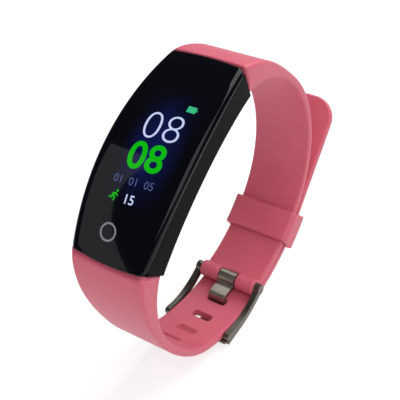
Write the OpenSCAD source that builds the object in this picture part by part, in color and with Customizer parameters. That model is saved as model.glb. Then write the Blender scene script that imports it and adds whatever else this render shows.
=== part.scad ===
// Fitness tracker band: a curved case with a full-face glass, two silicone straps,
// a sliding keeper and a pin buckle, fastened as it is worn.
// The origin is on the wrist's axis. +X runs along the forearm, -Y is the side
// that the screen faces and +Z is up.

/* [Case] */
// Half of the case's length, from the crown to one end of the face
case_half = 22.6; // [21.5:0.1:24]
// Width of the case at its two ends
end_w = 18; // [17.5:0.1:19]
// How far each side bows out at the middle of the case
side_bow = 1.7; // [1:0.1:2]
// How far the middle of each end stands out past its corners
end_bow = 0.65; // [0.4:0.05:0.8]
// Drop of the face from its crown to its ends
face_sag = 4.2; // [3.8:0.1:4.6]
// Height of the case at its ends
end_h = 6.45; // [6.2:0.05:6.8]
// How far each end leans in at its lower edge
end_lean = 2.4; // [2:0.1:2.8]
// Hollow of the case's lower edge between its ends
low_sag = 4.55; // [4.2:0.05:4.8]
// Depth of the back cover below the crown
back_depth = 10.6; // [10.4:0.1:11]
// Thickness of the glass
glass_t = 1.2; // [1:0.05:1.3]

/* [Pose on the wrist] */
// Angle of the face's normal above the horizontal
tilt = 48.8; // [40:0.1:60]
// Distance from the wrist's axis to the crown of the face
crown_r = 36; // [34:0.5:38]

/* [Straps] */
// Width of the straps past their taper
band_w = 15.2; // [14.6:0.1:16]
// Thickness of the straps past their taper
band_t = 1.92; // [1.8:0.02:2]
// Length over which a strap thins from the case
root_len = 22; // [18:1:26]
// Length over which a strap narrows from the case
taper_len = 29; // [24:1:32]
// Radius of the strap's end roll around the spring bar
roll_r = 2; // [1.9:0.05:2]
// Distance between the slots
slot_pitch = 6.75; // [6:0.05:7]
// Number of slots
slot_count = 9; // [7:1:9]
// Width of a slot across the strap
slot_w = 5; // [5:0.1:5.4]
// Length of a slot along the strap
slot_l = 2.1; // [2:0.05:2.4]
// Corner radius of the free end
tip_r = 6; // [4:0.5:7]

/* [Keeper and buckle] */
// Length of the keeper along the strap
keeper_l = 8; // [6:0.5:9]
// Wall of the keeper
keeper_wall = 1.1; // [1:0.05:1.4]
// Distance from the spring bar to the keeper
keeper_off = 14.3; // [13:0.1:15]
// Distance from the spring bar to the cross bar, along the strap
frame_l = 14.8; // [14:0.1:15]
// Thickness of each buckle arm
arm_t = 1.3; // [1.2:0.1:1.8]
// Width of the tongue
tongue_w = 4.5; // [4:0.1:4.5]
// Thickness of the tongue
tongue_t = 0.95; // [0.8:0.05:1]
// Radius of the spring bar's tube
bar_r = 0.75; // [0.7:0.01:0.8]

/* [Hidden] */
$fn = 96;

// Clearance of what turns and of what slides, and play of a part that sits tight in another
run_gap = 0.05;
slide_gap = 0.15;
snug = 0.02;

// Circles that bound the case: the face, the two sides, the two ends, the hollow back
function arc_radius(chord_half, sag) = (chord_half * chord_half + sag * sag) / (2 * sag);
face_r = arc_radius(case_half, face_sag);
side_r = arc_radius(case_half, side_bow);
end_r = arc_radius(end_w / 2, end_bow);
low_half = case_half - end_lean;
low_r = arc_radius(low_half, low_sag);
mid_w = end_w + 2 * side_bow;
end_low = face_sag + end_h;
lean_angle = atan(end_lean / end_h);

// Levels clear of the case, below it and above it
below = -12;
above = 1;

// Inside of the case, from the glass down
seal_t = 0.2;
wall = 1.5;
ledge = 0.85;
cavity_half = 15.8;
ledge_v = -5.2;
cover_gap = 0.05;
cover_wall = 1;
cover_in = 1.5;
cover_proud = 1;
tab_from = 14.4;
cover_floor = 1;
cover_top = ledge_v - 0.3;
tab_half = 18.7;
tab_t = 0.9;
screw_x = 4.6;
screw_u = 17.2;
screw_r = 0.55;
screw_head_r = 1.05;
screw_head_t = 0.5;
screw_l = 3.4;
screw_room = 0.3;
drive_l = 1.3;
drive_w = 0.3;
drive_depth = 0.25;
window_r = 4.2;
seal_margin = 0.6;
seal_half = 18;
pad_u = -11.5;
pad_x = 2.6;
pad_r = 1.05;
screen_u = 0.4;
screen_w = 13;
screen_l = 25;
screen_v = -2.9;
screen_t = 1.3;
tray_t = 0.45;
tray_rim = 0.4;
tray_lip = 0.5;
key_u = -17.6;
key_r = 2.6;
key_t = 0.15;
key_pocket = 0.5;
key_fit = 0.2;
key_tail_w = 1.6;
key_tail_l = 4.4;
board_v = -5.3;
board_t = 0.65;
board_w = 13.4;
board_l = 29.2;
battery_v = -8.5;
battery_t = 2.1;
battery_w = 11.5;
battery_l = 20;
battery_u = -4.8;
motor_r = 3.5;
motor_t = 2;
motor_u = 10.3;

// Socket of each strap in the case
lug_w = 11;
lug_t = 3;
lug_fit = 0.1;
pocket_l = 6.2;
lug_in = 18.3;
lug_v = -7.4;
lug_pin_u = 19.9;
lug_pin_r = 0.6;
lug_pin_l = 14;

// A place in the case's frame, carried to the wrist's frame
function case_pt(u, v) = [u * sin(tilt) - (crown_r + v) * cos(tilt),
    u * cos(tilt) + (crown_r + v) * sin(tilt)];
function face_v(u) = sqrt(face_r * face_r - u * u) - face_r;

// Strap routes in the YZ plane. A state is [y, z, heading, distance from the case].
// A stretch is [radius, turn] for an arc, or [0, length] for a straight.
arc_step = 4;
function turned(st, r, a) = let (g = a < 0 ? -1 : 1)
    [st[0] + g * r * (sin(st[2] + a) - sin(st[2])),
    st[1] - g * r * (cos(st[2] + a) - cos(st[2])),
    st[2] + a, st[3] + r * abs(a) * PI / 180];
function along(st, seg, t) = seg[0] == 0
    ? [st[0] + seg[1] * t * cos(st[2]), st[1] + seg[1] * t * sin(st[2]), st[2], st[3] + seg[1] * t]
    : turned(st, seg[0], seg[1] * t);
function steps(seg) = seg[0] == 0 ? 1 : ceil(abs(seg[1]) / arc_step);
function walk(segs, st, i = 0) = i == len(segs) ? [st] : concat(
    [for (k = [0:steps(segs[i]) - 1]) along(st, segs[i], k / steps(segs[i]))],
    walk(segs, along(st, segs[i], 1), i + 1));
function last(path) = path[len(path) - 1];
function end_mid(g) = (case_pt(g * case_half, -face_sag) + case_pt(g * low_half, -end_low)) / 2;

// Buckle strap: over the top of the wrist and down its back to the spring bar
upper_heading = 5.5;
ring_r = 36.8;
upper_segs = [[25.1, -31.2], [48.5, -13.8], [27.2, -84.9], [ring_r, -37]];
upper_path = walk(upper_segs, [end_mid(1)[0], end_mid(1)[1], upper_heading, 0]);
upper_end = last(upper_path);
// Centre of the arc that the lower end of the buckle strap shares with the hole strap
ring = [upper_end[0] + ring_r * sin(upper_end[2]), upper_end[1] - ring_r * cos(upper_end[2])];

// Hole strap: under the wrist, round the outside of the buckle strap, then straight on
lay_gap = 0.23;
hole_r = ring_r + band_t + lay_gap;
lower_heading = -101.3;
lower_segs = [[22.9, 26.1], [37.2, 39.3]];
lower_start = [end_mid(-1)[0], end_mid(-1)[1], lower_heading, 0];
lower_mid = last(walk(lower_segs, lower_start));
base_z = ring[1] - hole_r;
base_r = (lower_mid[1] - base_z) / (1 - cos(lower_mid[2]));
base_l = ring[0] - lower_mid[0] + base_r * sin(lower_mid[2]);
tip_l = 29.7;
lay_turn = 54;
lower_path = walk(concat(lower_segs, [[base_r, -lower_mid[2]], [0, base_l], [hole_r, lay_turn],
    [0, tip_l]]), lower_start);
lower_end = last(lower_path);

// Thickness and half-width of a strap at a distance from the case
root_t = norm([end_lean, end_h]);
thin_power = 1.6;
function thick(s) = band_t + (root_t - band_t) * pow(max(0, 1 - s / root_len), thin_power);
function ease(k) = k * k * (3 - 2 * k);
function half_w(s, full) = (end_w + (band_w - end_w) * ease(s / full)) / 2;
function edge(path, g) = [for (p = path)
    [p[0] - g * thick(p[3]) / 2 * sin(p[2]), p[1] + g * thick(p[3]) / 2 * cos(p[2])]];
function flip(list) = [for (k = [len(list) - 1:-1:0]) list[k]];
function root_of(path) = [for (p = path) if (p[3] <= taper_len) p];
function rest_of(path) = [for (p = path) if (p[3] >= last(root_of(path))[3]) p];
function tail(list) = [for (k = [1:len(list) - 1]) list[k]];

// The spring bar lies in the strap's end roll, on the skin side
bar_in = 1;
ring_bar_r = ring_r - bar_in;
bar_angle = upper_end[2] + 90;
bar = ring + ring_bar_r * [cos(bar_angle), sin(bar_angle)];
roll_bore_r = bar_r + run_gap;
notch_w = tongue_w + 0.6;
tip_pin_r = 0.4;
boss_r = 1.35;
pin_in = 0.8;
// A place near the buckle: distance from the bar towards the case, and radius from the ring
function near_bar(s, r) = let (a = bar_angle - s / hole_r * 180 / PI)
    ring + r * [cos(a), sin(a)];
slot_s = 6.2;
hole_in_r = hole_r - band_t / 2;
hole_out_r = hole_r + band_t / 2;
cross_t = 1.1;
cross_w = 2.2;
rest_gap = 0.25;
cross_r = hole_out_r + rest_gap + cross_t / 2;
arm_half = 0.9;
arm_x = band_w / 2 + 0.25;
// Distance along the hole strap of the slot that the tongue passes through
used_s = last(rest_of(lower_path))[3] - tip_l
    - (lay_turn - bar_angle - 90 + slot_s / hole_r * 180 / PI) * hole_r * PI / 180;

module on_case() rotate([90 - tilt, 0, 0]) translate([0, 0, crown_r]) children();
module prism(outline, w)
    rotate([90, 0, 90]) linear_extrude(height = w, center = true) polygon(outline);
module rod_x(r, l) rotate([0, 90, 0]) cylinder(h = l, r = r, center = true);
module slab(w, l, low, high) translate([-w / 2, -l / 2, low]) cube([w, l, high - low]);
module tube(r, bore, low, high) difference() {
    translate([0, 0, low]) cylinder(r = r, h = high - low);
    translate([0, 0, low - 1]) cylinder(r = bore, h = high - low + 2);
}

// Plan of the case between its two bowed sides, drawn in by a margin
module side_plan(margin) intersection() {
    translate([mid_w / 2 - side_r, 0]) circle(r = side_r - margin, $fn = 240);
    translate([side_r - mid_w / 2, 0]) circle(r = side_r - margin, $fn = 240);
}
// Block of the plan between two levels
module block(margin, half, low, high) translate([0, 0, low]) linear_extrude(height = high - low)
    intersection() {
        side_plan(margin);
        square([2 * mid_w, 2 * half], center = true);
    }
// Leaning, bowed end of the case, as the solid that it bounds to a height each way
module end_bound(g, reach) translate([0, g * case_half, -face_sag]) rotate([-g * lean_angle, 0, 0])
    translate([0, g * (end_bow - end_r), -reach]) cylinder(r = end_r, h = 2 * reach, $fn = 240);
// Solid under the curve of the face, lowered by a depth
module under_face(depth) translate([0, 0, -face_r])
    rotate([0, 90, 0]) cylinder(r = face_r - depth, h = 2 * mid_w, center = true, $fn = 240);
// Round of the hollow back, lowered by a drop
module hollow(drop) translate([0, 0, low_sag - end_low - low_r - drop]) rod_x(low_r, 2 * mid_w, $fn = 240);
// The whole outer form of the case, with its hollow back
module envelope() difference() {
    intersection() {
        translate([0, 0, -end_low - 1]) linear_extrude(height = end_low + 1) side_plan(0);
        end_bound(1, 2 * case_half);
        end_bound(-1, 2 * case_half);
        under_face(0);
    }
    hollow(0);
}

module front_glass() color([0.03, 0.03, 0.04]) on_case() difference() {
    intersection() {
        envelope();
        under_face(0);
    }
    under_face(glass_t);
}

module glass_seal() color([0.2, 0.2, 0.2]) on_case() difference() {
    intersection() {
        under_face(glass_t);
        block(seal_margin, seal_half, below, 0);
    }
    under_face(glass_t + seal_t);
    block(wall + ledge, cavity_half, below, above);
}

module display_panel() color([0.05, 0.06, 0.12]) on_case()
    translate([0, screen_u, 0]) slab(screen_w, screen_l, screen_v - screen_t, screen_v);

module backlight_tray() color([0.85, 0.85, 0.88]) on_case() translate([0, screen_u, 0]) difference() {
    slab(screen_w + 2 * tray_rim, screen_l + 2 * tray_rim, screen_v - screen_t - tray_t,
        screen_v - screen_t + tray_lip);
    slab(screen_w + 2 * snug, screen_l + 2 * snug, screen_v - screen_t, screen_v);
}

// Frame on the inner face of the glass, over the touch key
module at_key() translate([0, 0, -face_r]) rotate([-asin(key_u / face_r), 0, 0])
    translate([0, 0, face_r - glass_t - seal_t - 0.1]) children();

module touch_pad() color([0.75, 0.6, 0.3]) on_case() at_key() translate([0, 0, -key_t]) {
    cylinder(r = key_r, h = key_t);
    translate([-key_tail_w / 2, 0, 0]) cube([key_tail_w, key_tail_l, key_t]);
}

// Ribbon from the screen's lower end, folded down to the board
flex_w = 6;
flex_t = 0.14;
flex_out = 0.8;
flex_foot = 1.34;
flex_v = screen_v - 0.6;
flex_u = screen_u - screen_l / 2 - 0.45;
fold_in = 0.75;
module display_flex() color([0.8, 0.5, 0.15]) on_case() {
    board_top = board_v + board_t;
    fold_u = flex_u - fold_in;
    translate([0, fold_u, 0]) slab(flex_w, flex_t, board_top, flex_v);
    translate([0, fold_u + (flex_out - flex_t) / 2, 0]) slab(flex_w, flex_out, flex_v - flex_t, flex_v);
    translate([0, fold_u - (flex_foot - flex_t) / 2, 0])
        slab(flex_w, flex_foot, board_top, board_top + flex_t);
}

// Moulded case: open under the glass and at the back, with a socket for each strap
module case_body() color([0.1, 0.1, 0.11]) on_case() difference() {
    intersection() {
        envelope();
        under_face(glass_t + seal_t);
    }
    block(wall + ledge, cavity_half - ledge, below, above);
    block(wall, cavity_half, below, ledge_v);
    block(wall, tab_half, below, tab_t - back_depth);
    at_key() translate([0, 0, -key_pocket]) cylinder(r = key_r + key_fit, h = 2);
    for (g = [-1, 1]) {
        translate([0, g * (lug_in - lug_fit + pocket_l / 2), lug_v])
            cube([lug_w + 2 * lug_fit, pocket_l, lug_t + 2 * lug_fit], center = true);
        translate([0, g * lug_pin_u, lug_v]) rod_x(lug_pin_r + snug, lug_pin_l + 2 * run_gap);
        for (x = [-screw_x, screw_x])
            translate([x, g * screw_u, -back_depth - 1])
                cylinder(r = screw_r + snug, h = 1 + screw_l + screw_room);
    }
}

module main_board() color([0.05, 0.3, 0.15]) on_case()
    slab(board_w, board_l, board_v, board_v + board_t);

can_at = [-1.5, 9, 0];
can_w = 8;
can_t = 0.9;
module shield_can() color([0.75, 0.76, 0.78]) on_case() translate(can_at)
    slab(can_w, can_w, board_v - can_t, board_v);

// Antenna, motion sensor, flash memory and power regulator on the board: [x, u, width, length, height]
chips = [[4.8, 12.5, 1.6, 3.2, 0.7], [4.6, 6, 2, 2, 0.8], [2, -2, 4, 4.5, 0.8], [-3.5, -6, 3, 2, 0.6]];
module board_chips() color([0.12, 0.12, 0.13]) on_case()
    for (c = chips)
        translate([c[0], c[1], 0]) slab(c[2], c[3], board_v - c[4], board_v);

module vibration_motor() color([0.7, 0.7, 0.72]) on_case() translate([0, motor_u, battery_v])
    cylinder(r = motor_r, h = motor_t);

module battery() color([0.6, 0.62, 0.66]) on_case()
    translate([0, battery_u, 0]) slab(battery_w, battery_l, battery_v, battery_v + battery_t);

sense_v = -9;
sense_t = 0.35;
sense_w = 9;
sense_l = 11;
module sensor_board() color([0.05, 0.25, 0.35]) on_case()
    slab(sense_w, sense_l, sense_v, sense_v + sense_t);

// Two lamps and the light detector between them
lamp_u = 2.4;
lamp_w = 1.6;
lamp_l = 1.2;
lamp_t = 0.45;
detector_w = 2.6;
detector_l = 2.2;
detector_t = 0.4;
module heart_sensor() color([0.2, 0.7, 0.3]) on_case() {
    for (u = [-lamp_u, lamp_u])
        translate([0, u, 0]) slab(lamp_w, lamp_l, sense_v - lamp_t, sense_v);
    slab(detector_w, detector_l, sense_v - detector_t, sense_v);
}

module sensor_window() color([0.1, 0.02, 0.04]) on_case() {
    translate([0, 0, -back_depth]) cylinder(r = window_r, h = cover_floor - 0.1);
    translate([0, 0, cover_floor - back_depth - 0.1]) cylinder(r = window_r - 0.5, h = 0.1);
}

module back_seal() color([0.3, 0.3, 0.3]) on_case() difference() {
    block(wall + cover_gap, cavity_half - cover_gap, cover_top, ledge_v);
    block(wall + cover_wall, cavity_half - cover_wall, cover_top - 1, ledge_v + 1);
}

// Back cover: a tray inside the case's walls, a narrower bulge for the battery under it,
// and a tab at each end for its screws
module back_cover() color([0.07, 0.07, 0.08]) on_case() difference() {
    union() {
        difference() {
            block(wall + cover_gap, cavity_half - cover_gap, -back_depth, cover_top);
            hollow(cover_proud);
        }
        block(wall + cover_in, cavity_half - cover_gap, -back_depth, board_v - 1);
        for (g = [-1, 1])
            intersection() {
                block(wall + cover_gap, tab_half - cover_gap, -back_depth, tab_t - back_depth - cover_gap);
                translate([0, g * (tab_from + tab_half) / 2, -back_depth])
                    cube([2 * mid_w, tab_half - tab_from, 4 * tab_t], center = true);
            }
    }
    difference() {
        block(wall + cover_wall, cavity_half - cover_wall, -back_depth, 0);
        hollow(cover_proud - cover_floor);
    }
    block(wall + cover_in + cover_wall, cavity_half - cover_wall, cover_floor - back_depth, 0);
    translate([0, 0, -back_depth - 1]) cylinder(r = window_r + run_gap, h = cover_floor + 2);
    for (x = [-pad_x, pad_x])
        translate([x, pad_u, -back_depth - 1]) cylinder(r = pad_r + run_gap, h = cover_floor + 2);
    for (x = [-screw_x, screw_x])
        for (g = [-1, 1])
            translate([x, g * screw_u, -back_depth - 1]) {
                cylinder(r = screw_r + run_gap, h = 4);
                cylinder(r = screw_head_r + run_gap, h = 1 + screw_head_t);
            }
}

module charge_contacts() color([0.85, 0.7, 0.35]) on_case()
    for (x = [-pad_x, pad_x])
        translate([x, pad_u, -back_depth]) cylinder(r = pad_r, h = cover_floor + 0.2);

module cover_screws() color([0.6, 0.6, 0.62]) on_case()
    for (x = [-screw_x, screw_x])
        for (g = [-1, 1])
            translate([x, g * screw_u, -back_depth]) difference() {
                union() {
                    cylinder(r = screw_head_r, h = screw_head_t);
                    cylinder(r = screw_r, h = screw_l);
                }
                for (a = [0, 90])
                    rotate(a) cube([drive_l, drive_w, 2 * drive_depth], center = true);
            }

module lug_pin(g) on_case() translate([0, g * lug_pin_u, lug_v]) rod_x(lug_pin_r, lug_pin_l);
module upper_lug_pin() color([0.7, 0.71, 0.73]) lug_pin(1);
module lower_lug_pin() color([0.7, 0.71, 0.73]) lug_pin(-1);

// Corners where a strap meets the case, with a margin inside that the end trims off
function top_corner(g, m) = case_pt(g * (case_half - m), face_v(case_half - m));
function low_corner(g, m) = case_pt(g * (low_half - m), -end_low);

// Plan of a strap root past its two ends, and half the length of its block in the socket
plan_reach = 12;
plan_past = 4;
plan_h = 120;
block_in = 2.05;
// Thick, tapering part of a strap. side is 1 where its left side is the outer one.
// axis is the direction in which its width is drawn: 0 along Y, 1 along Z.
module strap_root(path, g, side, axis) {
    root = root_of(path);
    body = tail(root);
    outer = concat([top_corner(g, 1), top_corner(g, 0)], edge(body, side));
    inner = concat([low_corner(g, 1), low_corner(g, 0)], edge(body, -side));
    way = sign(last(root)[axis] - root[0][axis]);
    ends = [root[0][axis] - plan_reach * way, last(root)[axis] + plan_past * way];
    full = last(root)[3];
    right = concat([[half_w(0, full), ends[0]]], [for (p = root) [half_w(p[3], full), p[axis]]],
        [[band_w / 2, ends[1]]]);
    left = [for (p = flip(right)) [-p[0], p[1]]];
    difference() {
        intersection() {
            prism(concat(outer, flip(inner)), end_w + 4);
            if (axis == 0)
                linear_extrude(height = plan_h, center = true) polygon(concat(right, left));
            else
                rotate([90, 0, 0]) linear_extrude(height = plan_h, center = true)
                    polygon(concat(right, left));
        }
        on_case() end_bound(g, plan_reach);
    }
    on_case() difference() {
        translate([0, g * (lug_in + block_in), lug_v]) cube([lug_w, 2 * block_in, lug_t], center = true);
        translate([0, g * lug_pin_u, lug_v]) rod_x(lug_pin_r + snug, lug_w + 1);
    }
}

module buckle_strap() color([0.8, 0.38, 0.44]) difference() {
    union() {
        strap_root(upper_path, 1, 1, 0);
        prism(concat(edge(rest_of(upper_path), 1), flip(edge(rest_of(upper_path), -1))), band_w);
        translate([0, bar[0], bar[1]]) rod_x(roll_r, band_w);
    }
    translate([0, bar[0], bar[1]]) {
        rod_x(roll_bore_r, band_w + 2);
        rod_x(roll_r + 0.25, notch_w);
    }
}

// The free end's corner arcs meet its edges at a slight angle
tip_meet = 6;
tip_c = tip_r * cos(tip_meet);
// One slot through the hole strap
slot_corner = 0.7;
slot_outline = [for (q = [0:3]) for (a = [0:30:90])
    [(q == 0 || q == 3 ? 1 : -1) * (slot_w / 2 - slot_corner) + slot_corner * cos(90 * q + a),
    (q < 2 ? 1 : -1) * (slot_l / 2 - slot_corner) + slot_corner * sin(90 * q + a)]];
module slot(s) {
    y = lookup(s, [for (p = lower_path) [p[3], p[0]]]);
    z = lookup(s, [for (p = lower_path) [p[3], p[1]]]);
    h = lookup(s, [for (p = lower_path) [p[3], p[2]]]);
    translate([0, y, z]) rotate([h, 0, 0])
        linear_extrude(height = 3 * band_t, center = true) polygon(slot_outline);
}

module hole_strap() color([0.8, 0.38, 0.44]) difference() {
    union() {
        strap_root(lower_path, -1, -1, 1);
        prism(concat(edge(rest_of(lower_path), 1), flip(edge(rest_of(lower_path), -1))), band_w);
    }
    for (k = [0:slot_count - 1])
        slot(used_s + (k - 3) * slot_pitch);
    translate([0, lower_end[0], lower_end[1]]) rotate([lower_end[2], 0, 0])
        for (g = [0, 1])
            mirror([g, 0, 0]) translate([band_w / 2 - tip_c, -tip_c, 0]) difference() {
                translate([0, 0, -band_t]) cube([tip_r + 1, tip_r + 1, 2 * band_t]);
                translate([0, 0, -2 * band_t]) cylinder(r = tip_r, h = 4 * band_t);
            }
}

// A sector of a ring about the straps' shared centre, between two angles
module ring_sector(r_in, r_out, w, from, to) translate([0, ring[0], ring[1]]) rotate([0, 90, 0])
    rotate(from + 90) rotate_extrude(angle = to - from, $fn = 240)
        translate([r_in, -w / 2]) square([r_out - r_in, w]);

module keeper_loop() color([0.8, 0.38, 0.44]) {
    from = bar_angle + keeper_off / ring_r * 180 / PI;
    to = from + keeper_l / ring_r * 180 / PI;
    r_in = ring_r - band_t / 2 - slide_gap;
    r_out = hole_out_r + slide_gap;
    w_in = band_w + 2 * slide_gap;
    difference() {
        ring_sector(r_in - keeper_wall, r_out + keeper_wall, w_in + 2 * keeper_wall, from, to);
        ring_sector(r_in, r_out, w_in, from - 1, to + 1);
    }
}

// Arm of the buckle: it leaves the bar, runs beside the strap and widens down to the cross bar
arm_end_r = hole_r + 0.25;
arm_drop = cross_r + cross_t / 2 - arm_end_r - arm_half;
drop_power = 6;
function arm_mid(k) = ring_bar_r + (arm_end_r - ring_bar_r) * sin(90 * k);
arm_steps = 12;
arm_outline = concat(
    [for (k = [0:arm_steps]) near_bar(frame_l * k / arm_steps,
        arm_mid(k / arm_steps) + arm_half + arm_drop * pow(k / arm_steps, drop_power))],
    [for (k = [arm_steps:-1:0]) near_bar(frame_l * k / arm_steps, arm_mid(k / arm_steps) - arm_half)]);
arm_end = near_bar(frame_l, arm_end_r);
cross_at = near_bar(frame_l, cross_r);
cross_turn = bar_angle - frame_l / hole_r * 180 / PI - 90;

module buckle_frame() color([0.6, 0.6, 0.6]) {
    for (g = [-1, 1])
        difference() {
            translate([g * (arm_x + arm_t / 2), 0, 0]) {
                prism(arm_outline, arm_t);
                translate([0, bar[0], bar[1]]) rod_x(boss_r, arm_t);
                translate([0, arm_end[0], arm_end[1]]) rod_x(arm_half, arm_t);
                translate([0, cross_at[0], cross_at[1]]) rod_x(cross_t / 2, arm_t);
            }
            translate([g * arm_x, bar[0], bar[1]]) rod_x(tip_pin_r + run_gap, 2 * pin_in + 0.2);
        }
    translate([0, cross_at[0], cross_at[1]]) rotate([cross_turn, 0, 0]) {
        cube([2 * arm_x + 1, cross_w - cross_t, cross_t], center = true);
        for (g = [-1, 1])
            translate([0, g * (cross_w - cross_t) / 2, 0]) rod_x(cross_t / 2, 2 * arm_x + 1);
    }
}

// Tongue: a loop on the bar, a leg on the skin side, a step through the slot
// and a flat end that rests on the cross bar. The strap's pull holds it off the slot's centre.
tongue_tip = frame_l + 1.6;
loop_r = 1.75;
pull = 0.15;
step_in = slot_s + pull - tongue_t / 2;
step_out = slot_s + pull + tongue_t / 2;
leg_r = hole_in_r - 2;
plate_r = cross_r + cross_t / 2 + rest_gap;
plate_start = step_out + 1.6;
plate_steps = 6;
tongue_inner = [[0.2, ring_bar_r - 1.72], [1.1, ring_bar_r - 1.4], [1.7, ring_bar_r - 0.7],
    [2.1, leg_r], [2.6, leg_r + 0.2], [3.4, leg_r], [step_out - 1.2, leg_r],
    [step_out - 0.4, leg_r + 0.25], [step_out, leg_r + 0.9],
    [step_out, hole_out_r - 0.1], [step_out + 0.5, hole_out_r + 0.7]];
tongue_plate = [for (k = [0:plate_steps])
    [plate_start + (tongue_tip - plate_start) * k / plate_steps, plate_r]];
tongue_outer = [[step_in + 0.3, hole_out_r + 1.2], [step_in, hole_out_r + 0.4],
    [step_in, leg_r + 1.25], [step_in - 0.35, leg_r + tongue_t], [3.4, leg_r + tongue_t],
    [2.5, leg_r + tongue_t + 0.2], [1.6, leg_r + tongue_t], [0.9, ring_bar_r - 0.2]];
tongue_outline = [for (p = concat(tongue_inner, tongue_plate,
    [for (q = flip(tongue_plate)) q + [0, tongue_t]], tongue_outer)) near_bar(p[0], p[1])];

module buckle_tongue() color([0.68, 0.67, 0.65]) difference() {
    union() {
        prism(tongue_outline, tongue_w);
        translate([0, bar[0], bar[1]]) rod_x(loop_r, tongue_w);
    }
    translate([0, bar[0], bar[1]]) rod_x(bar_r + run_gap, tongue_w + 2);
}

// Spring bar: a tube with a sprung tip at each end
tube_l = band_w - 0.6;
tip_in = 5;
module spring_bar_tube() color([0.72, 0.72, 0.74]) translate([0, bar[0], bar[1]]) rotate([0, 90, 0])
    tube(bar_r, tip_pin_r + run_gap, -tube_l / 2, tube_l / 2);

module spring_bar_tips() color([0.75, 0.75, 0.77])
    for (g = [-1, 1])
        translate([g * (arm_x + pin_in + tip_in) / 2, bar[0], bar[1]])
            rod_x(tip_pin_r, arm_x + pin_in - tip_in);

// Fine coil that pushes the two tips apart
coil_turns = 12;
coil_sides = 6;
coil_r = 0.26;
wire_r = 0.07;
coil_l = 2 * tip_in - 0.3;
coil_steps = coil_turns * 10;
coil_points = [for (k = [0:coil_steps]) for (j = [0:coil_sides - 1])
    let (a = 360 * coil_turns * k / coil_steps, b = 360 * j / coil_sides, r = coil_r + wire_r * cos(b))
    [r * cos(a), r * sin(a), coil_l * (k / coil_steps - 0.5) + wire_r * sin(b)]];
coil_sides_faces = [for (k = [0:coil_steps - 1]) for (j = [0:coil_sides - 1])
    [k * coil_sides + j, k * coil_sides + (j + 1) % coil_sides,
    (k + 1) * coil_sides + (j + 1) % coil_sides, (k + 1) * coil_sides + j]];
coil_caps = [[for (j = [coil_sides - 1:-1:0]) j],
    [for (j = [0:coil_sides - 1]) coil_steps * coil_sides + j]];
module spring_bar_spring() color([0.8, 0.8, 0.82]) translate([0, bar[0], bar[1]])
    rotate([0, 90, 0]) polyhedron(coil_points, concat(coil_sides_faces, coil_caps));

front_glass();
glass_seal();
display_panel();
backlight_tray();
touch_pad();
display_flex();
case_body();
main_board();
shield_can();
board_chips();
vibration_motor();
battery();
sensor_board();
heart_sensor();
sensor_window();
back_seal();
back_cover();
charge_contacts();
cover_screws();
upper_lug_pin();
lower_lug_pin();
buckle_strap();
hole_strap();
keeper_loop();
buckle_frame();
buckle_tongue();
spring_bar_tube();
spring_bar_tips();
spring_bar_spring();
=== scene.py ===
"""Looks of a fitness tracker band: glass face, moulded case, silicone straps and a steel buckle."""
import math

import bmesh
import bpy
from mathutils import Matrix, Vector


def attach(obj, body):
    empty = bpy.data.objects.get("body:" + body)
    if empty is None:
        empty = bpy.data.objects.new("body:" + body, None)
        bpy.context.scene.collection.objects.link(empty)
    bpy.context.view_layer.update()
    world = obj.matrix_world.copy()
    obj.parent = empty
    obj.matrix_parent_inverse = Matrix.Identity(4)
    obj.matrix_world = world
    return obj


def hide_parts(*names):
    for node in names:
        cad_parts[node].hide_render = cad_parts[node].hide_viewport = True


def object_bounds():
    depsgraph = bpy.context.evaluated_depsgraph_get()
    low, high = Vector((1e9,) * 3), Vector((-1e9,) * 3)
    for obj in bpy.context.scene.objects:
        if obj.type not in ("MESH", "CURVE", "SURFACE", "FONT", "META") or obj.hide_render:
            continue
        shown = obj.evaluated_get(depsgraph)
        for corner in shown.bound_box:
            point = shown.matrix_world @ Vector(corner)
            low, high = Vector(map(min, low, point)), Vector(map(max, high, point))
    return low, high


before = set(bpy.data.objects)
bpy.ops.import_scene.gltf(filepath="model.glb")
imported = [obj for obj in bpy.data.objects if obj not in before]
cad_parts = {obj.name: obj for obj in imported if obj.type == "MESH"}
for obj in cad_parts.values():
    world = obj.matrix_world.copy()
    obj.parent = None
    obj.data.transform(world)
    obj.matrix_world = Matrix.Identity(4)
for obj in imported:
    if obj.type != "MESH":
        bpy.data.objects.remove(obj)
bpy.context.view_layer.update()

MM = 0.001

# Measures of the band in millimetres and degrees, the same as the CAD's
TILT, CROWN_R = 48.8, 36.0
CASE_HALF, END_W, SIDE_BOW, END_BOW = 22.6, 18.0, 1.7, 0.65
FACE_SAG, END_H, END_LEAN, GLASS_T = 4.2, 6.45, 2.4, 1.2
BAND_W, BAND_T, ROOT_LEN, TAPER_LEN = 15.2, 1.92, 22.0, 29.0
SLOT_PITCH, SLOT_COUNT, SLOT_W, SLOT_L, SLOT_CORNER, SLOTS_BEFORE = 6.75, 9, 5.0, 2.1, 0.7, 3
TIP_R, LAY_GAP, LAY_TURN, TIP_L, SLOT_S = 6.0, 0.23, 54.0, 29.7, 6.2
RING_R, BAR_IN, ROLL_R, BORE_R, NOTCH_W = 36.8, 1.0, 2.0, 0.8, 5.1
KEEPER_L, KEEPER_WALL, KEEPER_OFF, SLIDE_GAP = 8.0, 1.1, 14.3, 0.15

# Length of each strap's first stretch, whose start stays square to the case's end
FIRST_STEP = {1: 1.709, -1: 1.490}
ROOT_POWER = 1.6
# How far a strap's outer skin starts under the glass
UNDER_GLASS = 0.1
# Round of a strap's rims at the case, and how far from it the rims are half as round
RIM_ROUND, RIM_FADE = 1.1, 10.0
# Faces across a strap
ACROSS = 6
# How many grains a patch of slightly different tone spans
PATCH = 14


def arc_radius(half_chord, sag):
    return (half_chord * half_chord + sag * sag) / (2 * sag)


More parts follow.
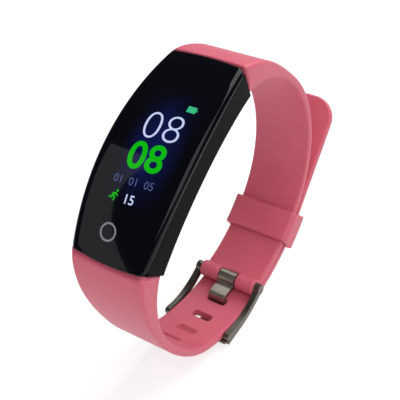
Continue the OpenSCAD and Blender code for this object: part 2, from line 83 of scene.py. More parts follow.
FACE_R = arc_radius(CASE_HALF, FACE_SAG)
SIDE_R = arc_radius(CASE_HALF, SIDE_BOW)
END_R = arc_radius(END_W / 2, END_BOW)
END_T = math.hypot(END_LEAN, END_H)
LEAN = math.atan(END_LEAN / END_H)


# ---------- places ----------
def case_point(x, u, v):
    """A place on the case: across, along its length and out from its crown, in metres in the world."""
    s, c = math.sin(math.radians(TILT)), math.cos(math.radians(TILT))
    return Vector((x, u * s - (CROWN_R + v) * c, u * c + (CROWN_R + v) * s)) * MM


def face_point(x, u, lift):
    """A place measured along the curved face, lifted off it."""
    turn = u / FACE_R
    r = FACE_R + lift
    return case_point(x, r * math.sin(turn), r * math.cos(turn) - FACE_R)


def along(start, stretches, s):
    """Where a strap's middle line is after s: y, z and heading in degrees."""
    y, z, heading = start
    for i, (radius, amount) in enumerate(stretches):
        length = radius * math.radians(abs(amount)) if radius else amount
        here = s if s < length or i == len(stretches) - 1 else length
        if radius:
            side = math.copysign(1, amount)
            after = heading + side * math.degrees(here / radius)
            y += side * radius * (math.sin(math.radians(after)) - math.sin(math.radians(heading)))
            z -= side * radius * (math.cos(math.radians(after)) - math.cos(math.radians(heading)))
            heading = after
        else:
            y += here * math.cos(math.radians(heading))
            z += here * math.sin(math.radians(heading))
        s -= here
        if s <= 0:
            break
    return y, z, heading


def route_length(stretches):
    return sum(r * math.radians(abs(a)) if r else a for r, a in stretches)


def end_middle(way):
    a = case_point(0, way * CASE_HALF, -FACE_SAG)
    b = case_point(0, way * (CASE_HALF - END_LEAN), -FACE_SAG - END_H)
    m = (a + b) / 2 / MM
    return m.y, m.z


def end_heading(way):
    """Direction square to the case's leaning end."""
    a = case_point(0, way * CASE_HALF, -FACE_SAG)
    b = case_point(0, way * (CASE_HALF - END_LEAN), -FACE_SAG - END_H)
    d = a - b
    return math.degrees(math.atan2(d.z, d.y)) - way * 90


UPPER_START = (*end_middle(1), 5.5)
UPPER = [(25.1, -31.2), (48.5, -13.8), (27.2, -84.9), (RING_R, -37.0)]
UPPER_L = route_length(UPPER)
end_y, end_z, end_a = along(UPPER_START, UPPER, UPPER_L)
RING = (end_y + RING_R * math.sin(math.radians(end_a)), end_z - RING_R * math.cos(math.radians(end_a)))
HOLE_R = RING_R + BAND_T + LAY_GAP
BAR_ANGLE = end_a + 90
BAR = (RING[0] + (RING_R - BAR_IN) * math.cos(math.radians(BAR_ANGLE)),
       RING[1] + (RING_R - BAR_IN) * math.sin(math.radians(BAR_ANGLE)))

LOWER_START = (*end_middle(-1), -101.3)
LOWER = [(22.9, 26.1), (37.2, 39.3)]
mid_y, mid_z, mid_a = along(LOWER_START, LOWER, route_length(LOWER))
base_r = (mid_z - (RING[1] - HOLE_R)) / (1 - math.cos(math.radians(mid_a)))
base_l = RING[0] - mid_y + base_r * math.sin(math.radians(mid_a))
LOWER += [(base_r, -mid_a), (0, base_l), (HOLE_R, LAY_TURN), (0, TIP_L)]
LOWER_L = route_length(LOWER)
USED_S = LOWER_L - TIP_L - HOLE_R * math.radians(
    LAY_TURN - BAR_ANGLE - 90 + math.degrees(SLOT_S / HOLE_R))


# ---------- pieces ----------
def finished(bm, name, body, stands_for, material, smooth=True):
    """Makes a bmesh in metres into a piece of the band."""
    mesh = bpy.data.meshes.new(name)
    bm.to_mesh(mesh)
    bm.free()
    mesh.shade_smooth() if smooth else mesh.shade_flat()
    piece = bpy.data.objects.new(name, mesh)
    bpy.context.scene.collection.objects.link(piece)
    mesh.materials.append(material)
    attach(piece, body)
    if stands_for:
        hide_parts(stands_for)
    return piece


def round_edges(piece, width, segments, by_weight=False):
    bevel = piece.modifiers.new("rounding", "BEVEL")
    bevel.width = width * MM
    bevel.segments = segments
    bevel.limit_method = "WEIGHT" if by_weight else "ANGLE"
    bevel.angle_limit = math.radians(35)
    bevel.use_clamp_overlap = not by_weight
    normals = piece.modifiers.new("flat faces stay flat", "WEIGHTED_NORMAL")
    normals.mode = "FACE_AREA"
    normals.keep_sharp = False


def new_shape():
    """An empty bmesh whose edges can carry a share of the rounding."""
    bm = bmesh.new()
    bm.edges.layers.float.new("bevel_weight_edge")
    return bm


def weigh(bm, edges, share):
    for edge in edges:
        edge[bm.edges.layers.float["bevel_weight_edge"]] = share


def weigh_rims(bm, edges):
    """A strap's rims: fully round at the case, half as round further on."""
    for edge in edges:
        s = (edge.verts[0].co.y + edge.verts[1].co.y) / 2
        weigh(bm, [edge], 0.5 + 0.5 * max(0.0, 1 - s / RIM_FADE))


def sheet_grid(bm, rows, low, high, across=ACROSS):
    """Flat rows of faces between two distances along a strap."""
    at = Matrix.Translation((0, (low + high) / 2, 0)) @ Matrix.Diagonal((BAND_W, high - low, 1, 1))
    return bmesh.ops.create_grid(bm, x_segments=across, y_segments=rows, size=0.5, matrix=at)["verts"]


def slot_cell(bm, s):
    """One pitch of the hole strap, with the rim of its slot bridged to its border."""
    cell = sheet_grid(bm, 6, s - SLOT_PITCH / 2, s + SLOT_PITCH / 2)
    inner = [v for v in cell if not v.is_boundary]
    border = {e for v in cell if v.is_boundary for e in v.link_edges if e.is_boundary}
    bmesh.ops.delete(bm, geom=inner, context="VERTS")
    half_turn = Matrix.Rotation(math.radians(7.5), 4, "Z")
    rim = bmesh.ops.create_circle(bm, cap_ends=False, radius=SLOT_CORNER, segments=24,
                                  matrix=Matrix.Translation((0, s, 0)) @ half_turn)["verts"]
    for v in rim:
        v.co.x += math.copysign(SLOT_W / 2 - SLOT_CORNER, v.co.x)
        v.co.y += math.copysign(SLOT_L / 2 - SLOT_CORNER, v.co.y - s)
    rim_edges = {e for v in rim for e in v.link_edges}
    bmesh.ops.bridge_loops(bm, edges=list(border | rim_edges))


def thicken(bm):
    """Gives the flat strap its thickness: half to each side of its middle."""
    bmesh.ops.remove_doubles(bm, verts=bm.verts, dist=0.001)
    top = bmesh.ops.extrude_face_region(bm, geom=bm.faces[:])["geom"]
    top = {v for v in top if isinstance(v, bmesh.types.BMVert)}
    for v in bm.verts:
        v.co.z = BAND_T / 2 if v in top else -BAND_T / 2
    bmesh.ops.recalc_face_normals(bm, faces=bm.faces)


def sharp_edges(bm):
    return [e for e in bm.edges if len(e.link_faces) == 2 and e.calc_face_angle() > math.radians(50)]


def lay_strap(bm, start, stretches, way):
    """Carries the flat strap onto its route, with its thick, wide root against the case."""
    square = end_heading(way)
    for v in bm.verts:
        x, s, t = v.co
        y, z, heading = along(start, stretches, s)
        near = max(0.0, 1 - s / FIRST_STEP[way])
        heading += near * ((square - start[2] + 180) % 360 - 180)
        root = max(0.0, 1 - s / ROOT_LEN) ** ROOT_POWER
        thick = BAND_T + (END_T - BAND_T) * root
        k = min(1.0, s / TAPER_LEN)
        wide = END_W + (BAND_W - END_W) * k * k * (3 - 2 * k)
        x *= wide / BAND_W
        bow = near * (END_BOW - x * x / (2 * END_R))
        sine, cosine = math.sin(math.radians(heading)), math.cos(math.radians(heading))
        out = math.copysign(thick / 2, t)
        # the outer skin starts a little under the glass
        if out * way > 0:
            out -= way * UNDER_GLASS * near
        v.co = Vector((x, y - out * sine + bow * cosine, z + out * cosine + bow * sine)) * MM


# ---------- materials ----------
def linear(code):
    """A six-digit sRGB colour as the linear colour that Blender mixes."""
    parts = [int(code[i:i + 2], 16) / 255 for i in (1, 3, 5)]
    return (*[p / 12.92 if p <= 0.04045 else ((p + 0.055) / 1.055) ** 2.4 for p in parts], 1.0)


def add(tree, kind, inputs=None, **settings):
    """A node with its settings, and its inputs set to values or linked to sockets."""
    new = tree.nodes.new(kind)
    for key, value in settings.items():
        setattr(new, key, value)
    for key, value in (inputs or {}).items():
        if isinstance(value, bpy.types.NodeSocket):
            tree.links.new(value, new.inputs[key])
        else:
            new.inputs[key].default_value = value
    return new


def finish_of(name, light, dark, grain_mm, relief_mm, rough, spread, stretch=(1, 1, 1), **constants):
    """A surface whose colour, gloss and relief vary with a grain of a real size."""
    material = bpy.data.materials.new(name)
    material.use_nodes = True
    tree = material.node_tree
    tree.nodes.clear()
    place = add(tree, "ShaderNodeTexCoord")
    turned = add(tree, "ShaderNodeMapping", {"Vector": place.outputs["Object"], "Scale": stretch})
    grain = add(tree, "ShaderNodeTexNoise", {
        "Vector": turned.outputs[0], "Scale": 1 / (grain_mm * MM), "Detail": 3.0, "Roughness": 0.6})
    patch = add(tree, "ShaderNodeTexNoise", {
        "Vector": turned.outputs[0], "Scale": 1 / (PATCH * grain_mm * MM), "Detail": 2.0, "Roughness": 0.5})
    both = add(tree, "ShaderNodeMix", {
        "Factor": 0.45, "A": patch.outputs["Fac"], "B": grain.outputs["Fac"]}, data_type="FLOAT")
    colour = add(tree, "ShaderNodeValToRGB", {"Fac": both.outputs[0]})
    colour.color_ramp.elements[0].position = 0.3
    colour.color_ramp.elements[1].position = 0.7
    colour.color_ramp.elements[0].color = linear(dark)
    colour.color_ramp.elements[1].color = linear(light)
    gloss = add(tree, "ShaderNodeMapRange", {
        "Value": both.outputs[0], "From Min": 0.3, "From Max": 0.7,
        "To Min": rough - spread, "To Max": rough + spread})
    relief = add(tree, "ShaderNodeBump", {
        "Height": grain.outputs["Fac"], "Strength": 0.5, "Distance": relief_mm * MM})
    shader = add(tree, "ShaderNodeBsdfPrincipled", {
        "Base Color": colour.outputs["Color"], "Roughness": gloss.outputs[0],
        "Normal": relief.outputs["Normal"], **constants})
    add(tree, "ShaderNodeOutputMaterial", {"Surface": shader.outputs[0]})
    return material


def lit_mark(name, code, strength):
    """Screen light seen through the glass: it glows almost evenly."""
    material = bpy.data.materials.new(name)
    material.use_nodes = True
    tree = material.node_tree
    tree.nodes.clear()
    place = add(tree, "ShaderNodeTexCoord")
    cells = add(tree, "ShaderNodeTexNoise", {"Vector": place.outputs["Object"], "Scale": 1 / (0.4 * MM)})
    glow = add(tree, "ShaderNodeMapRange", {
        "Value": cells.outputs["Fac"], "To Min": strength * 0.85, "To Max": strength * 1.15})
    shader = add(tree, "ShaderNodeBsdfPrincipled", {
        "Base Color": linear("#060608"), "Roughness": 0.06, "Specular IOR Level": 0.1,
        "Emission Color": linear(code), "Emission Strength": glow.outputs[0]})
    add(tree, "ShaderNodeOutputMaterial", {"Surface": shader.outputs[0]})
    return material


def black_glass():
    """Polished glass over black print: deep black, with a faint blue light where the screen is on."""
    material = bpy.data.materials.new("toughened glass over black print, polished")
    material.use_nodes = True
    tree = material.node_tree
    tree.nodes.clear()
    place = add(tree, "ShaderNodeTexCoord")
    local = add(tree, "ShaderNodeMapping", {
        "Vector": place.outputs["Object"], "Rotation": (math.radians(TILT - 90), 0, 0),
        "Location": (0, 0, -CROWN_R * MM)})
    axes = add(tree, "ShaderNodeSeparateXYZ", {"Vector": local.outputs[0]})
    shares = []
    # the light fades to nothing at the screen's edges
    for socket, middle, half in ((axes.outputs["X"], 1.0, 7.5), (axes.outputs["Y"], 1.0, 14.0)):
        off = add(tree, "ShaderNodeMath", {0: socket, 1: middle * MM}, operation="SUBTRACT")
        far = add(tree, "ShaderNodeMath", {0: off.outputs[0]}, operation="ABSOLUTE")
        shares.append(add(tree, "ShaderNodeMapRange", {
            "Value": far.outputs[0], "From Min": 0.0, "From Max": half * MM,
            "To Min": 1.0, "To Max": 0.0}, interpolation_type="SMOOTHSTEP"))
    lit = add(tree, "ShaderNodeMath", {0: shares[0].outputs[0], 1: shares[1].outputs[0]},
              operation="MULTIPLY")
    cloud = add(tree, "ShaderNodeTexNoise", {
        "Vector": local.outputs[0], "Scale": 1 / (5 * MM), "Detail": 2.0})
    glow = add(tree, "ShaderNodeMath", {0: lit.outputs[0], 1: cloud.outputs["Fac"], 2: 0.01},
               operation="MULTIPLY_ADD")
    # fingers leave a film too thin to see but for its softer gloss
    film = add(tree, "ShaderNodeMapRange", {
        "Value": cloud.outputs["Fac"], "From Min": 0.3, "From Max": 0.7, "To Min": 0.02, "To Max": 0.05})
    shader = add(tree, "ShaderNodeBsdfPrincipled", {
        "Base Color": linear("#040406"), "Roughness": film.outputs[0], "IOR": 1.45,
        "Specular IOR Level": 0.25, "Emission Color": linear("#101f6a"),
        "Emission Strength": glow.outputs[0]})
    add(tree, "ShaderNodeOutputMaterial", {"Surface": shader.outputs[0]})
    return material


glass = black_glass()
# moulded silicone: soft matte skin from a blasted mould, with a slight bloom
silicone = finish_of("silicone, moulded matte", "#cf5d71", "#c75568", 0.35, 0.02, 0.52, 0.05,
                     **{"Sheen Weight": 0.1, "Sheen Roughness": 0.35})
# moulded plastic: fine spark-eroded texture, hardly any sheen
case_plastic = finish_of("ABS and polycarbonate, moulded satin", "#0b0b0b", "#070707", 0.3, 0.02, 0.42,
                         0.05, **{"Specular IOR Level": 0.03})
back_plastic = finish_of("polycarbonate, moulded fine matte", "#232326", "#1a1a1c", 0.3, 0.02, 0.5, 0.05)
# brushed stainless steel: fine lines along X; its base colour is painted shade, darker than the tongue's
# steel to stand for the shadow on the frame's arms
buckle_steel_painted_shade = finish_of("stainless steel, brushed, darkened as painted shade", "#716e65", "#5b5850", 0.25, 0.012, 0.36, 0.06,
                         stretch=(0.06, 1, 1), Metallic=1.0)
# satin stainless steel: paler, with lines along the tongue
tongue_steel = finish_of("stainless steel, satin", "#9f9a8e", "#8a857a", 0.3, 0.01, 0.36, 0.05,
                         stretch=(1, 0.1, 1), Metallic=1.0)
# drawn and turned steel: bright, with small sharp lights
pin_steel = finish_of("stainless steel, drawn", "#b4b4b6", "#98989a", 0.2, 0.005, 0.25, 0.05,
                      Metallic=1.0)
screw_steel = finish_of("stainless steel, turned", "#a9a9ab", "#8c8c8e", 0.2, 0.005, 0.28, 0.05,
                        Metallic=1.0)
FINISHES = {
    "front_glass": glass, "case_body": case_plastic, "back_cover": back_plastic,
    # the buckle frame's steel carries painted shade in its darker base colour
    "cover_screws": screw_steel, "buckle_frame": buckle_steel_painted_shade, "buckle_tongue": tongue_steel,
    "upper_lug_pin": pin_steel, "lower_lug_pin": pin_steel, "spring_bar_tube": pin_steel,
    "spring_bar_tips": pin_steel, "spring_bar_spring": pin_steel,
    "buckle_strap": silicone, "hole_strap": silicone, "keeper_loop": silicone,
    # die-cut foam: dull, with open pores at its cut edges
    "glass_seal": finish_of("polyurethane foam tape, die cut", "#2b2b2b", "#1c1c1c",
                            0.15, 0.03, 0.8, 0.08),
    # polariser over liquid crystal: near black and smooth
    "display_panel": finish_of("polariser film, laminated", "#0b0d16", "#07080e",
                               0.3, 0.001, 0.15, 0.04),
    # white plastic that throws the backlight forward: bright and even
    "backlight_tray": finish_of("white polycarbonate, moulded", "#eceae4", "#dedcd6",
                                0.3, 0.005, 0.45, 0.05),
    # etched copper: warm, with a soft metal gloss
    "touch_pad": finish_of("copper foil, etched", "#c98a5b", "#b0724a",
                           0.2, 0.003, 0.3, 0.06, Metallic=1.0),
    # amber film: glossy, darker over its copper tracks
    "display_flex": finish_of("polyimide film, amber", "#c67a20", "#a9651a",
                              0.25, 0.002, 0.3, 0.05),
    # green solder mask: glossy over a woven board
    "main_board": finish_of("glass epoxy board, solder mask", "#1d5a34", "#164829",
                            0.4, 0.01, 0.35, 0.06),
    # tinned steel: pale grey, with soft lights
    "shield_can": finish_of("tinned steel, pressed", "#c4c6c8", "#a9abad",
                            0.3, 0.004, 0.3, 0.07, Metallic=1.0),
    "vibration_motor": finish_of("tinned steel, drawn", "#c0c2c4", "#a5a7a9",
                                 0.3, 0.004, 0.3, 0.07, Metallic=1.0),
    # chip housings: dull dark grey with a sandy grain
    "board_chips": finish_of("epoxy moulding compound", "#2a2b2d", "#1f2022",
                             0.1, 0.008, 0.55, 0.06),
    # pouch foil: silvery and slightly wrinkled
    "battery": finish_of("aluminium laminate pouch", "#b9bcc1", "#9fa2a8",
                         0.8, 0.02, 0.32, 0.08, Metallic=0.8),
    "sensor_board": finish_of("glass epoxy board, black mask", "#1f3440", "#172831",
                              0.4, 0.01, 0.35, 0.06),
    # cast lens: clear green and very smooth
    "heart_sensor": finish_of("clear epoxy lens, cast", "#8fe39a", "#74cf82",
                              0.5, 0.002, 0.12, 0.03),
    # dark tinted acrylic, polished: almost black with sharp lights
    "sensor_window": finish_of("tinted acrylic, polished", "#1a0d11", "#12080b",
                               0.8, 0.002, 0.08, 0.03),
    # rubber cord: dark and dull
    "back_seal": finish_of("silicone rubber cord, moulded", "#3a3a3c", "#2d2d2f",
                           0.2, 0.01, 0.6, 0.06),
    # gold plate on turned brass: warm and bright
    "charge_contacts": finish_of("brass, gold plated", "#e2b864", "#cda24f",
                                 0.2, 0.004, 0.22, 0.05, Metallic=1.0),
}
for node_name, finish in FINISHES.items():
    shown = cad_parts[node_name]
    for place in shown.material_slots:
        place.material = finish


# ---------- cover glass ----------
def make_glass():
    """A bent plate that follows the case's plan, its long edges ground to a soft round."""
    bm = new_shape()
    bmesh.ops.create_grid(bm, x_segments=10, y_segments=40, size=1.0)
    down = bmesh.ops.extrude_face_region(bm, geom=bm.faces[:])["geom"]
    under = {v for v in down if isinstance(v, bmesh.types.BMVert)}
    for v in bm.verts:
        v.co.z = -GLASS_T if v in under else 0.0
    bmesh.ops.recalc_face_normals(bm, faces=bm.faces)
    top_rim = [e for e in sharp_edges(bm) if e.verts[0].co.z == 0 and e.verts[1].co.z == 0]
    weigh(bm, [e for e in top_rim if abs(abs(e.verts[0].co.x + e.verts[1].co.x) - 2) < 0.01], 1.0)
    weigh(bm, [e for e in top_rim if abs(abs(e.verts[0].co.y + e.verts[1].co.y) - 2) < 0.01], 0.15)
    weigh(bm, [e for e in sharp_edges(bm) if e.verts[0].co.z != e.verts[1].co.z], 1.0)
    for v in bm.verts:
        p, q, depth = v.co.x, v.co.y, -v.co.z
        bow = END_BOW * (1 - p * p)
        u = q * (CASE_HALF + bow - depth * math.tan(LEAN))
        x = p * (END_W / 2 + SIDE_BOW + math.sqrt(SIDE_R ** 2 - u * u) - SIDE_R)
        v.co = case_point(x, u, math.sqrt(FACE_R ** 2 - u * u) - FACE_R - depth)
    piece = finished(bm, "cover_glass", "band", "front_glass", glass)
    round_edges(piece, 1.1, 5, by_weight=True)


make_glass()


# ---------- straps ----------
def make_hole_strap():
    bm = new_shape()
    first = USED_S - SLOTS_BEFORE * SLOT_PITCH
    low, high = first - SLOT_PITCH / 2, first + (SLOT_COUNT - 0.5) * SLOT_PITCH
    tip = LOWER_L - TIP_R - 1
    sheet_grid(bm, 30, 0, low)
    for k in range(SLOT_COUNT):
        slot_cell(bm, first + k * SLOT_PITCH)
    sheet_grid(bm, 8, high, tip)
    # the free end is one face with two corners rounded
    end = sheet_grid(bm, 1, tip, LOWER_L, across=1)
    near = [e for v in end for e in v.link_edges if max(e.verts[0].co.y, e.verts[1].co.y) < tip + 0.1]
    bmesh.ops.subdivide_edges(bm, edges=list(set(near)), cuts=ACROSS - 1)
    corners = [v for v in bm.verts if v.co.y > LOWER_L - 0.1]
    bmesh.ops.bevel(bm, geom=corners, offset=TIP_R, offset_type="OFFSET", segments=10, profile=0.5,
                    affect="VERTICES", material=-1)
    thicken(bm)
    rims = [e for e in sharp_edges(bm) if (e.verts[0].co.y + e.verts[1].co.y) > 0.05
            and abs(e.verts[0].co.z - e.verts[1].co.z) < 0.1]
    inside = [e for e in rims if abs(e.verts[0].co.x) < SLOT_W / 2 + 0.1 and e.verts[0].co.y < high
              and abs(e.verts[1].co.x) < SLOT_W / 2 + 0.1]
    weigh_rims(bm, rims)
    weigh(bm, inside, 0.3)
    lay_strap(bm, LOWER_START, LOWER, -1)
    piece = finished(bm, "hole_strap_skin", "band", "hole_strap", silicone)
    round_edges(piece, RIM_ROUND, 4, by_weight=True)


def make_buckle_strap():
    bm = new_shape()
    low = UPPER_L - ROLL_R - 0.1
    sheet_grid(bm, 74, 0, low)
    sheet_grid(bm, 2, low, UPPER_L)
    bmesh.ops.remove_doubles(bm, verts=bm.verts, dist=0.001)
    # the two lines next to the middle carry the notch for the tongue
    for v in bm.verts:
        if abs(abs(v.co.x) - BAND_W / ACROSS) < 0.05:
            v.co.x = math.copysign(NOTCH_W / 2, v.co.x)
    gone = [f for f in bm.faces
            if abs(f.calc_center_median().x) < NOTCH_W / 2 and f.calc_center_median().y > low]
    bmesh.ops.delete(bm, geom=gone, context="FACES")
    thicken(bm)
    rims = [e for e in sharp_edges(bm) if 0.05 < (e.verts[0].co.y + e.verts[1].co.y) / 2 < UPPER_L - 0.01
            and abs(e.verts[0].co.z - e.verts[1].co.z) < 0.1]
    weigh_rims(bm, rims)
    weigh(bm, [e for e in rims if abs(e.verts[0].co.x + e.verts[1].co.x) < NOTCH_W + 0.1], 0.25)
    lay_strap(bm, UPPER_START, UPPER, 1)
    piece = finished(bm, "buckle_strap_skin", "band", "buckle_strap", silicone)
    round_edges(piece, RIM_ROUND, 4, by_weight=True)
    # end roll that wraps the spring bar, in two halves beside the tongue
    roll = bmesh.new()
    for side in (-1, 1):
        wide = (BAND_W - NOTCH_W) / 2
        at = (Matrix.Translation((side * (NOTCH_W + wide) / 2, (BORE_R + ROLL_R) / 2, 0))
              @ Matrix.Diagonal((wide, ROLL_R - BORE_R, 1, 1)))
        made = bmesh.ops.create_grid(roll, x_segments=1, y_segments=1, size=0.5, matrix=at)["verts"]
        outer = [v for v in made if v.co.y > BORE_R + 0.1]
        bmesh.ops.bevel(roll, geom=outer, offset=0.45, offset_type="OFFSET", segments=4, profile=0.5,
                        affect="VERTICES", material=-1)
    rim = roll.edges[:]
    bmesh.ops.delete(roll, geom=roll.faces[:], context="FACES_ONLY")
    bmesh.ops.spin(roll, geom=rim + roll.verts[:], cent=(0, 0, 0), axis=(1, 0, 0), angle=math.tau, steps=40,
                   use_merge=True)
    bmesh.ops.remove_doubles(roll, verts=roll.verts, dist=0.001)
    bmesh.ops.recalc_face_normals(roll, faces=roll.faces)
    bmesh.ops.transform(roll, verts=roll.verts, matrix=Matrix.Scale(MM, 4))
    bmesh.ops.translate(roll, verts=roll.verts, vec=Vector((0, *BAR)) * MM)
    piece = finished(roll, "strap_end_roll", "band", None, silicone)
    normals = piece.modifiers.new("flat faces stay flat", "WEIGHTED_NORMAL")
    normals.keep_sharp = False


make_hole_strap()
make_buckle_strap()


# ---------- keeper ----------
def make_keeper():
    """A flat loop swept round the straps' shared centre."""
    low = RING_R - BAND_T / 2 - SLIDE_GAP - KEEPER_WALL
    high = HOLE_R + BAND_T / 2 + SLIDE_GAP + KEEPER_WALL
    wide = BAND_W + 2 * SLIDE_GAP + 2 * KEEPER_WALL
    bm = new_shape()
    at = Matrix.Translation((0, (low + high) / 2, 0)) @ Matrix.Diagonal((wide, high - low, 1, 1))
    bmesh.ops.create_grid(bm, x_segments=1, y_segments=1, size=0.5, matrix=at)
    bmesh.ops.bevel(bm, geom=bm.verts[:], offset=1.35, offset_type="OFFSET", segments=5, profile=0.5,
                    affect="VERTICES", material=-1)
    bmesh.ops.inset_region(bm, faces=bm.faces[:], thickness=KEEPER_WALL, use_boundary=True,
                           use_even_offset=True)
    middle = max(bm.faces, key=lambda f: len(f.verts))
    bmesh.ops.delete(bm, geom=[middle], context="FACES_ONLY")
    start = BAR_ANGLE + math.degrees(KEEPER_OFF / RING_R)
    turn = KEEPER_L / RING_R
    bmesh.ops.rotate(bm, verts=bm.verts, cent=(0, 0, 0),
                     matrix=Matrix.Rotation(math.radians(start), 3, "X"))
    bmesh.ops.spin(bm, geom=bm.faces[:] + bm.edges[:] + bm.verts[:], cent=(0, 0, 0), axis=(1, 0, 0),
                   angle=turn, steps=8)
    bmesh.ops.recalc_face_normals(bm, faces=bm.faces)
    weigh(bm, sharp_edges(bm), 1.0)
    bmesh.ops.transform(bm, verts=bm.verts, matrix=Matrix.Scale(MM, 4))
    bmesh.ops.translate(bm, verts=bm.verts, vec=Vector((0, *RING)) * MM)
    piece = finished(bm, "keeper_skin", "keeper", "keeper_loop", silicone)
    round_edges(piece, 0.35, 4, by_weight=True)


make_keeper()


# ---------- parts that keep the CAD's shape with worked edges ----------
def softened(node, name, body, width):
    """A merged copy of a solid of the part, with its edges lightly rounded."""
    bm = bmesh.new()
    bm.from_mesh(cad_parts[node].data)
    bmesh.ops.remove_doubles(bm, verts=bm.verts, dist=0.002 * MM)
    bmesh.ops.dissolve_limit(bm, angle_limit=math.radians(0.5), verts=bm.verts, edges=bm.edges)
    piece = finished(bm, name, body, node, FINISHES[node])
    round_edges(piece, width, 3)


softened("case_body", "case_shell", "band", 0.25)
softened("buckle_frame", "buckle_bow", "buckle", 0.28)
softened("buckle_tongue", "buckle_prong", "tongue", 0.2)


# ---------- what the screen shows ----------
def on_face(bm, name, material, lift=0.02):
    """Lays flat marks, drawn in face millimetres, on the curved glass."""
    low = min(v.co.y for v in bm.verts)
    high = max(v.co.y for v in bm.verts)
    for k in range(1, int(high - low) + 1):
        bmesh.ops.bisect_plane(bm, geom=bm.verts[:] + bm.edges[:] + bm.faces[:],
                               plane_co=(0, low + k, 0), plane_no=(0, 1, 0))
    for v in bm.verts:
        v.co = face_point(v.co.x, v.co.y, lift)
    outward = case_point(0, 0, 1) - case_point(0, 0, 0)
    bmesh.ops.recalc_face_normals(bm, faces=bm.faces)
    back = [f for f in bm.faces if f.normal.dot(outward) < 0]
    bmesh.ops.reverse_faces(bm, faces=back)
    finished(bm, name, "band", None, material, smooth=False)


def numerals(name, text, size, at, material, bold=0.0, wide=1.0):
    """Numbers in a plain face, a little turned, placed by their middle."""
    curve = bpy.data.curves.new(name, "FONT")
    curve.body = text
    curve.size = 1.0
    curve.offset = bold
    curve.resolution_u = 6
    holder = bpy.data.objects.new(name, curve)
    bpy.context.scene.collection.objects.link(holder)
    bpy.context.view_layer.update()
    mesh = bpy.data.meshes.new_from_object(holder.evaluated_get(bpy.context.evaluated_depsgraph_get()))
    bpy.data.objects.remove(holder)
    bm = bmesh.new()
    bm.from_mesh(mesh)
    bpy.data.meshes.remove(mesh)
    low = Vector((min(v.co.x for v in bm.verts), min(v.co.y for v in bm.verts), 0))
    high = Vector((max(v.co.x for v in bm.verts), max(v.co.y for v in bm.verts), 0))
    k = size / (high.y - low.y)
    bmesh.ops.translate(bm, verts=bm.verts, vec=-(low + high) / 2)
    bmesh.ops.scale(bm, verts=bm.verts, vec=(k * wide, k, 1))
    bmesh.ops.rotate(bm, verts=bm.verts, cent=(0, 0, 0), matrix=Matrix.Rotation(math.radians(4), 3, "Z"))
    bmesh.ops.translate(bm, verts=bm.verts, vec=(*at, 0))
    on_face(bm, name, material)


def ring_mark(name, radius, line, at, material):
    bm = bmesh.new()
    bmesh.ops.create_circle(bm, cap_ends=True, radius=radius, segments=48,
                            matrix=Matrix.Translation((*at, 0)))
    bmesh.ops.inset_region(bm, faces=bm.faces[:], thickness=line, use_boundary=True)
    bmesh.ops.delete(bm, geom=[max(bm.faces, key=lambda f: len(f.verts))], context="FACES_ONLY")
    on_face(bm, name, material)


def stroke(bm, a, b, width):
    """A round-ended line between two places."""
    a, b = Vector(a), Vector(b)
    along_it = b - a
    angle = math.atan2(along_it.y, along_it.x)
    at = Matrix.Translation((*(a + b) / 2, 0)) @ Matrix.Rotation(angle, 4, "Z") @ Matrix.Diagonal(
        (along_it.length, width, 1, 1))
    bmesh.ops.create_grid(bm, x_segments=1, y_segments=1, size=0.5, matrix=at)
    for end in (a, b):
        bmesh.ops.create_circle(bm, cap_ends=True, radius=width / 2, segments=12,
                                matrix=Matrix.Translation((*end, 0)))


# backlit liquid crystal: flat, glowing colour
white_light = lit_mark("liquid crystal, white", "#cbd8ff", 0.95)
green_light = lit_mark("liquid crystal, green", "#0abe0a", 0.9)
teal_light = lit_mark("liquid crystal, teal", "#3ac489", 0.9)
blue_light = lit_mark("liquid crystal, pale blue", "#7086c8", 0.42)
# printed ink behind glass: pale, with the glass's gloss
grey_print = finish_of("pale ink printed under glass", "#8d8f93", "#76787c", 0.2, 0.001, 0.1, 0.03)
numerals("hours", "08", 5.8, (0.75, 5.25), white_light, bold=-0.022, wide=1.06)
numerals("minutes", "08", 5.9, (0.5, -1.5), green_light, bold=0.018, wide=1.05)
numerals("date", "01  01  05", 1.6, (0.2, -6.9), blue_light)
numerals("steps", "15", 1.9, (0.9, -10.4), white_light, bold=0.01)
ring_mark("touch_key_ring", 1.9, 0.4, (-1.3, -17.6), grey_print)


def battery_mark():
    """A small cell lying on its side: an outline with a nub round its fill."""
    fill = bmesh.new()
    bmesh.ops.create_grid(fill, x_segments=1, y_segments=1, size=0.5,
                          matrix=Matrix.Translation((4.5, 10.5, 0)) @ Matrix.Diagonal((1.7, 1.1, 1, 1)))
    on_face(fill, "battery_fill", teal_light)
    line = bmesh.new()
    for a, b in (((3.6, 11.1), (5.4, 11.1)), ((3.6, 9.9), (5.4, 9.9)), ((3.6, 9.9), (3.6, 11.1)),
                 ((5.4, 9.9), (5.4, 11.1)), ((5.7, 10.35), (5.7, 10.65))):
        stroke(line, a, b, 0.2)
    on_face(line, "battery_outline", teal_light, lift=0.03)


def runner_mark():
    """A plain figure of strokes that stands for steps."""
    bm = bmesh.new()
    bmesh.ops.create_circle(bm, cap_ends=True, radius=0.26, segments=16,
                            matrix=Matrix.Translation((-2.4, -9.5, 0)))
    neck, hip = (-2.6, -10.0), (-2.9, -10.6)
    for a, b in ((neck, hip), (hip, (-2.5, -11.0)), ((-2.5, -11.0), (-2.7, -11.5)),
                 (hip, (-3.4, -11.1)), ((-3.4, -11.1), (-3.8, -11.0)), (neck, (-2.1, -10.4)),
                 (neck, (-3.2, -10.2)), ((-3.2, -10.2), (-3.3, -10.6))):
        stroke(bm, a, b, 0.27)
    on_face(bm, "step_mark", green_light)


battery_mark()
runner_mark()


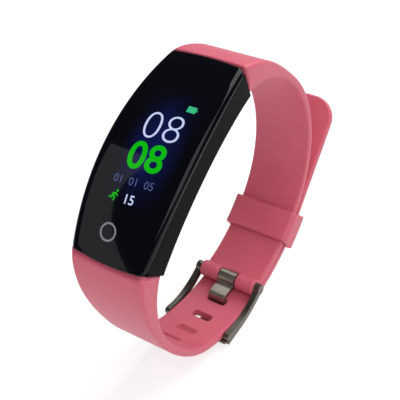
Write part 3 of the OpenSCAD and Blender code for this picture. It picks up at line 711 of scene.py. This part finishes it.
# ---------- floor, light and camera ----------
def make_floor():
    bm = bmesh.new()
    bmesh.ops.create_grid(bm, x_segments=1, y_segments=1, size=1.5,
                          matrix=Matrix.Translation((0, 0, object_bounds()[0].z - 0.0003)))
    mesh = bpy.data.meshes.new("floor")
    bm.to_mesh(mesh)
    bm.free()
    floor = bpy.data.objects.new("floor", mesh)
    bpy.context.scene.collection.objects.link(floor)
    # opal acrylic with light below it: matte and pale, so shadows on it stay faint
    mesh.materials.append(finish_of(
        "opal acrylic, sanded, lit from below", "#929292", "#8e8e8e", 3.0, 0.01, 0.9, 0.03,
        **{"Emission Color": linear("#ffffff"), "Emission Strength": 0.76}))


def soft_light(name, place, aim, size, watts, length=None, roll=0.0):
    light = bpy.data.lights.new(name, "AREA")
    light.shape = "RECTANGLE"
    light.size = size
    light.size_y = length or size
    light.energy = watts
    lamp = bpy.data.objects.new(name, light)
    lamp.location = place
    aimed = (Vector(aim) - Vector(place)).to_track_quat("-Z", "Y").to_matrix()
    lamp.rotation_euler = (aimed @ Matrix.Rotation(math.radians(roll), 3, "Z")).to_euler()
    bpy.context.scene.collection.objects.link(lamp)


make_floor()
# a broad light behind and above, a fill in front, and a narrow card that shows on the glass
soft_light("overhead", (0.1, 0.72, 1.05), (0, 0, 0), 1.3, 20.0)
soft_light("right fill", (0.6, -0.6, 1.0), (0, 0, 0), 1.3, 12.0)
soft_light("left card", (-0.5626, -0.682, 0.431), (0, 0, 0), 0.065, 0.155, length=0.8, roll=23)
world = bpy.data.worlds.new("studio")
world.use_nodes = True
sky = world.node_tree.nodes["Background"]
sky.inputs["Color"].default_value = (0.9, 0.93, 1.0, 1.0)
sky.inputs["Strength"].default_value = 0.1
bpy.context.scene.world = world
bpy.context.scene.view_settings.view_transform = "Standard"

azimuth, elevation = math.radians(34.78), math.radians(32.07)
back = Vector((math.sin(azimuth) * math.cos(elevation), -math.cos(azimuth) * math.cos(elevation),
               math.sin(elevation)))
lens = bpy.data.cameras.new("camera")
lens.sensor_width = 36.0
lens.lens = 77.37
lens.clip_start = 0.01
camera = bpy.data.objects.new("camera", lens)
camera.location = Vector((-5.98, 2.54, -0.05)) * MM + back * 200.94 * MM
camera.rotation_euler = (-back).to_track_quat("-Z", "Y").to_euler()
bpy.context.scene.collection.objects.link(camera)
bpy.context.scene.camera = camera
